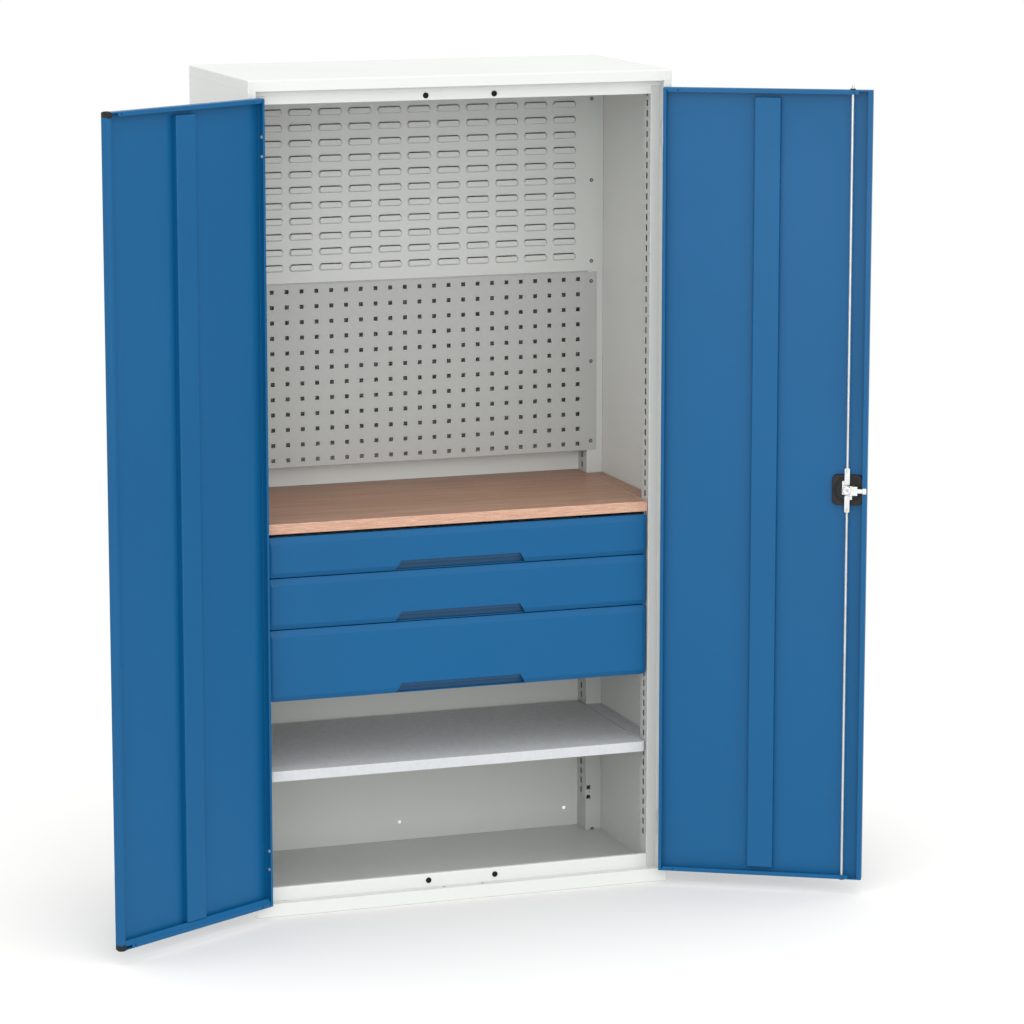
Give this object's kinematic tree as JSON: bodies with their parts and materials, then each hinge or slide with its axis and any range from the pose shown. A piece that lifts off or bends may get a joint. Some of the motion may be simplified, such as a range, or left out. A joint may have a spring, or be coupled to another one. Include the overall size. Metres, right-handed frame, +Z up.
{
  "type": "tool cabinet with doors",
  "caption": "Tall steel tool cabinet with hinged doors, louvred and perforated rear panels, a wooden worktop, drawers and a shelf.",
  "frame": {"origin": "middle of the underside of the base cross member, on the floor", "axes": "+Z up, +X to the right of someone facing the open front, -Y out of the front"},
  "size_m": [1.8724, 0.8053, 2],
  "materials": {
    "body_paint": "fine powder coat, light grey",
    "front_paint": "fine powder coat, gentian blue",
    "tray_paint": "powder coat, grey",
    "zinc": "bright zinc plated",
    "galvanised": "galvanised sheet, faint spangle",
    "bright_steel": "polished nickel",
    "beech": "oiled beech plywood with striped edges",
    "black_plastic": "fine grained black nylon",
    "rubber": "matt black rubber"
  },
  "bodies": {
    "carcass": {"roof_cap": "body_paint", "base_pan": "body_paint", "base_cross_member": "galvanised", "left_side_panel": "body_paint", "right_side_panel": "body_paint", "back_panel": "body_paint", "left_front_post": "body_paint", "right_front_post": "body_paint", "left_rear_post": "body_paint", "right_rear_post": "body_paint", "top_rail": "body_paint", "bottom_rail": "body_paint", "door_buffers": "rubber", "louvre_panel": "body_paint", "perforated_panel": "body_paint", "panel_screws": "zinc", "worktop": "beech", "left_drawer_housing": "zinc", "right_drawer_housing": "zinc", "drawer_housing_floor": "zinc", "fixed_runner_rails": "zinc", "shelf": "galvanised", "left_shelf_support": "galvanised", "right_shelf_support": "galvanised", "left_hinge_body_leaves": "zinc", "left_hinge_pins": "zinc", "right_hinge_body_leaves": "zinc", "right_hinge_pins": "zinc"},
    "left_door": {"left_door_panel": "front_paint", "left_door_stiffener": "front_paint", "left_door_glides": "black_plastic", "left_hinge_door_leaves": "zinc", "left_hinge_rivets": "zinc"},
    "right_door": {"right_door_panel": "front_paint", "right_door_stiffener": "front_paint", "right_hinge_door_leaves": "zinc", "right_hinge_rivets": "zinc", "lock_case": "black_plastic", "handle_cup": "black_plastic", "rod_guides": "black_plastic", "bolt_guide": "zinc"},
    "handle": {"rotary_handle": "black_plastic", "lock_spindle": "zinc", "lock_cam": "zinc"},
    "barrel": {"lock_barrel": "bright_steel"},
    "upper_rod": {"upper_lock_rod": "zinc"},
    "lower_rod": {"lower_lock_rod": "zinc"},
    "bolt": {"centre_bolt": "zinc"},
    "bottom_drawer": {"bottom_drawer_front": "front_paint", "bottom_drawer_tray": "tray_paint", "bottom_runner_sliders": "zinc"},
    "bottom_runner": {"bottom_runner_members": "zinc"},
    "middle_drawer": {"middle_drawer_front": "front_paint", "middle_drawer_tray": "tray_paint", "middle_runner_sliders": "zinc"},
    "middle_runner": {"middle_runner_members": "zinc"},
    "top_drawer": {"top_drawer_front": "front_paint", "top_drawer_tray": "tray_paint", "top_runner_sliders": "zinc"},
    "top_runner": {"top_runner_members": "zinc"}
  },
  "joints": [
    {"name": "left_door_hinge", "type": "hinge", "parent": "carcass", "child": "left_door", "pos_m": [-0.5035, -0.2665, 1], "axis": [0, 0, -1], "range_deg": [-150, 25]},
    {"name": "right_door_hinge", "type": "hinge", "parent": "carcass", "child": "right_door", "pos_m": [0.5035, -0.2665, 1], "axis": [0, 0, 1], "range_deg": [-150, 25]},
    {"name": "handle_turn", "type": "hinge", "parent": "right_door", "child": "handle", "pos_m": [0.89093, -0.50346, 1], "axis": [0.5, 0.866, 0], "range_deg": [0, 90]},
    {"name": "key_turn", "type": "hinge", "parent": "handle", "child": "barrel", "pos_m": [0.89093, -0.50346, 1], "axis": [0.5, 0.866, 0], "range_deg": [0, 90]},
    {"name": "upper_rod_slide", "type": "slide", "parent": "right_door", "child": "upper_rod", "axis": [0, 0, 1], "range_m": [0, 0.0107]},
    {"name": "lower_rod_slide", "type": "slide", "parent": "right_door", "child": "lower_rod", "axis": [0, 0, -1], "range_m": [0, 0.0107]},
    {"name": "centre_bolt_slide", "type": "slide", "parent": "right_door", "child": "bolt", "axis": [0.866, -0.5, 0], "range_m": [0, 0.0107]},
    {"name": "bottom_drawer_slide", "type": "slide", "parent": "carcass", "child": "bottom_drawer", "axis": [0, -1, 0], "range_m": [0, 0.4]},
    {"name": "bottom_runner_slide", "type": "slide", "parent": "carcass", "child": "bottom_runner", "axis": [0, -1, 0], "range_m": [0, 0.2]},
    {"name": "middle_drawer_slide", "type": "slide", "parent": "carcass", "child": "middle_drawer", "axis": [0, -1, 0], "range_m": [0, 0.4]},
    {"name": "middle_runner_slide", "type": "slide", "parent": "carcass", "child": "middle_runner", "axis": [0, -1, 0], "range_m": [0, 0.2]},
    {"name": "top_drawer_slide", "type": "slide", "parent": "carcass", "child": "top_drawer", "axis": [0, -1, 0], "range_m": [0, 0.4]},
    {"name": "top_runner_slide", "type": "slide", "parent": "carcass", "child": "top_runner", "axis": [0, -1, 0], "range_m": [0, 0.2]}
  ],
  "couplings": [
    {"joint": "upper_rod_slide", "follows": "handle_turn", "m_per_rad": 0.0067524},
    {"joint": "lower_rod_slide", "follows": "handle_turn", "m_per_rad": 0.0067524},
    {"joint": "centre_bolt_slide", "follows": "handle_turn", "m_per_rad": 0.0067524},
    {"joint": "bottom_runner_slide", "follows": "bottom_drawer_slide", "ratio": 0.5},
    {"joint": "middle_runner_slide", "follows": "middle_drawer_slide", "ratio": 0.5},
    {"joint": "top_runner_slide", "follows": "top_drawer_slide", "ratio": 0.5}
  ]
}
